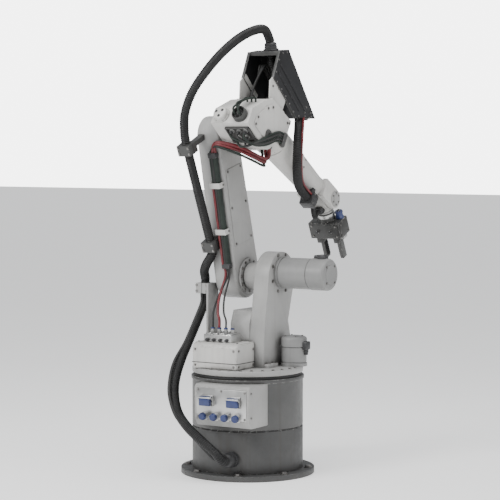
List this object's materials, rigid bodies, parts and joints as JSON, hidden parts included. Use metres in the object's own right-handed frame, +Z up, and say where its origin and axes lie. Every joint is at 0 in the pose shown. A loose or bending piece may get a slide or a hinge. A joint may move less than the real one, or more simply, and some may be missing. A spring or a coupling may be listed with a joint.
{
  "type": "industrial robot arm",
  "caption": "Six-axis industrial robot arm on a round pedestal, with a connection panel, a hose hood, corrugated dress hoses and a two-finger gripper",
  "frame": {"origin": "Middle of the foot plate's underside, on the axis that the turret turns about", "axes": "+Z up along the turret's axis, +X forward along the arm, +Y to the arm's left"},
  "size_m": [1.1576, 0.697, 2.0721],
  "materials": {
    "pedestal_paint": "satin dark grey paint",
    "base_paint": "satin grey paint on a casting",
    "arm_paint": "satin light grey paint on a casting",
    "white_cover": "satin off-white paint",
    "motor_paint": "satin grey paint",
    "dark_metal": "black oxide steel",
    "bare_metal": "machined aluminium",
    "hood_sheet": "matt black sheet",
    "hose_plastic": "corrugated black polyamide",
    "black_plastic": "moulded black polyamide",
    "black_rubber": "black lip seal",
    "blue_plastic": "moulded dark blue plastic",
    "red_cable": "red-brown cable jacket"
  },
  "bodies": {
    "base": {"foot_plate": "pedestal_paint", "pedestal_column": "pedestal_paint", "base_casting": "base_paint", "seal_ring": "black_rubber", "connection_panel": "arm_paint", "panel_connectors": "blue_plastic", "base_hose_gland": "black_plastic"},
    "turret": {"turntable": "arm_paint", "shoulder_casting": "arm_paint", "rear_cover": "white_cover", "valve_block": "bare_metal", "motor_1": "motor_paint", "motor_2": "motor_paint", "hose_bracket": "dark_metal", "base_loop": "hose_plastic"},
    "lower_arm": {"lower_arm_beam": "arm_paint", "lower_arm_covers": "arm_paint", "harness_trunk": "black_plastic", "harness_clamps": "white_cover", "hose_clamps": "dark_metal", "held_hose": "hose_plastic", "shoulder_loop": "hose_plastic"},
    "upper_arm": {"elbow_housing": "white_cover", "motor_3": "dark_metal", "motor_4": "dark_metal", "hood_brackets": "bare_metal", "hose_hood": "hood_sheet", "hood_glands": "black_plastic", "elbow_loop": "hose_plastic", "elbow_cable": "red_cable"},
    "forearm": {"forearm_casting": "white_cover", "forearm_clamp": "black_plastic", "forearm_hose": "hose_plastic"},
    "wrist": {"wrist_housing": "white_cover", "wrist_cover": "arm_paint", "wrist_clamp": "black_plastic", "wrist_hose": "hose_plastic"},
    "tool": {"tool_flange": "bare_metal", "gripper_body": "dark_metal", "air_cylinder": "blue_plastic", "finger_rail": "bare_metal"},
    "left_finger": {"finger_left": "dark_metal"},
    "right_finger": {"finger_right": "dark_metal"}
  },
  "joints": [
    {"name": "turret_turn", "type": "hinge", "parent": "base", "child": "turret", "pos_m": [0, 0, 0.4693], "axis": [0, 0, 1], "range_deg": [-170, 170], "deforming": ["base_loop"]},
    {"name": "shoulder_swing", "type": "hinge", "parent": "turret", "child": "lower_arm", "pos_m": [0.1, 0.06, 0.904], "axis": [0, 1, 0], "range_deg": [-60, 60], "deforming": ["shoulder_loop"]},
    {"name": "elbow_swing", "type": "hinge", "parent": "lower_arm", "child": "upper_arm", "pos_m": [-0.07026, 0.06, 1.56234], "axis": [0, -1, 0], "range_deg": [-15, 110], "deforming": ["elbow_loop", "elbow_cable"]},
    {"name": "forearm_roll", "type": "hinge", "parent": "upper_arm", "child": "forearm", "pos_m": [0.1021, -0.05, 1.55794], "axis": [0.8572, 0, -0.515], "range_deg": [-150, 150], "deforming": ["forearm_hose"]},
    {"name": "wrist_bend", "type": "hinge", "parent": "forearm", "child": "wrist", "pos_m": [0.60782, -0.05, 1.25407], "axis": [0, 1, 0], "range_deg": [-90, 70], "deforming": ["wrist_hose"]},
    {"name": "tool_roll", "type": "hinge", "parent": "wrist", "child": "tool", "pos_m": [0.6484, -0.05, 1.16707], "axis": [0.4226, 0, -0.9063], "range_deg": [-180, 180]},
    {"name": "left_finger_slide", "type": "slide", "parent": "tool", "child": "left_finger", "axis": [0, 1, 0], "range_m": [0, 0.018]},
    {"name": "right_finger_slide", "type": "slide", "parent": "tool", "child": "right_finger", "axis": [0, -1, 0], "range_m": [0, 0.018]}
  ],
  "couplings": [
    {"joint": "right_finger_slide", "follows": "left_finger_slide", "ratio": 1}
  ]
}
